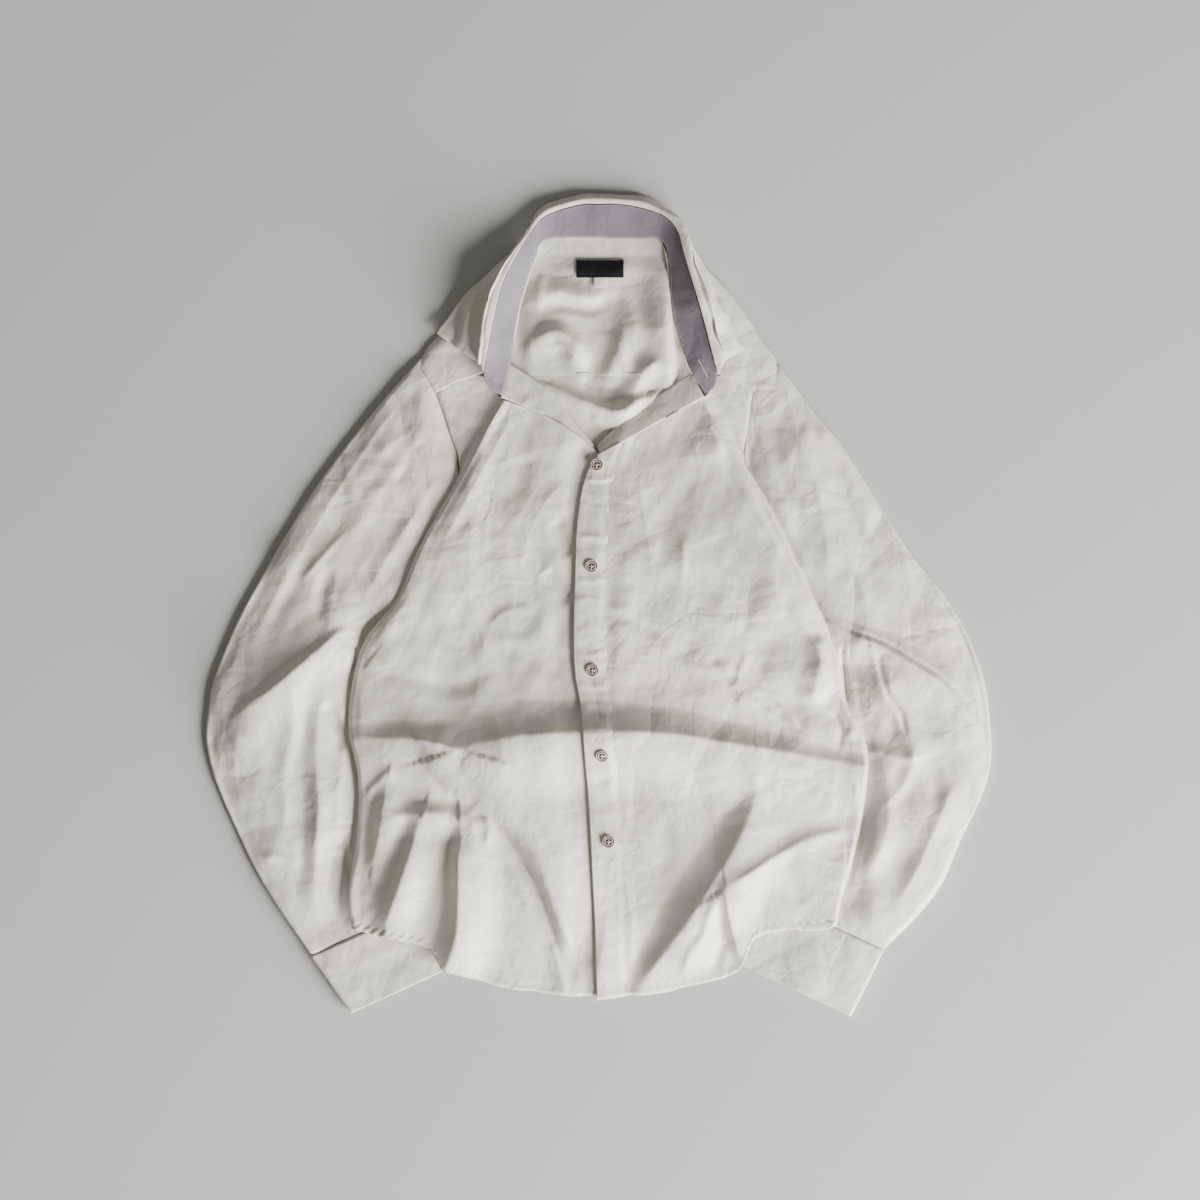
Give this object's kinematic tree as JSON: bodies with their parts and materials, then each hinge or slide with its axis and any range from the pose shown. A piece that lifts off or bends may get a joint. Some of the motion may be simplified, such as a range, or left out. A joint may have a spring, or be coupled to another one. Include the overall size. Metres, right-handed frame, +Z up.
{
  "type": "crumpled button-up shirt",
  "caption": "Long-sleeved button-up shirt laid flat on its back, crumpled, with the collar spread open and both sleeves bent inwards.",
  "frame": {"origin": "middle of the shirt's outline, on the surface that it lies on", "axes": "+Y towards the collar, +X towards the wearer's left sleeve, +Z up, out of the front"},
  "size_m": [0.744, 0.7794, 0.0376],
  "materials": {
    "cotton": "satin",
    "collar_inner": "matte",
    "label": "satin",
    "tag": "satin",
    "button": "glossy"
  },
  "bodies": {
    "root": {"back": "cotton", "yoke": "cotton", "front_left": "cotton", "front_right": "cotton", "placket": "cotton", "neck_turn_left": "cotton", "neck_turn_right": "cotton", "sleeve_left": "cotton", "sleeve_right": "cotton", "cuff_left": "cotton", "cuff_right": "cotton", "collar_stand": "collar_inner", "collar_leaf": "cotton", "neck_label": "label", "size_tag": "tag", "button_1": "button", "button_2": "button", "button_3": "button", "button_4": "button", "button_5": "button", "button_collar": "button", "button_cuff_left": "button", "button_cuff_right": "button"}
  },
  "joints": []
}
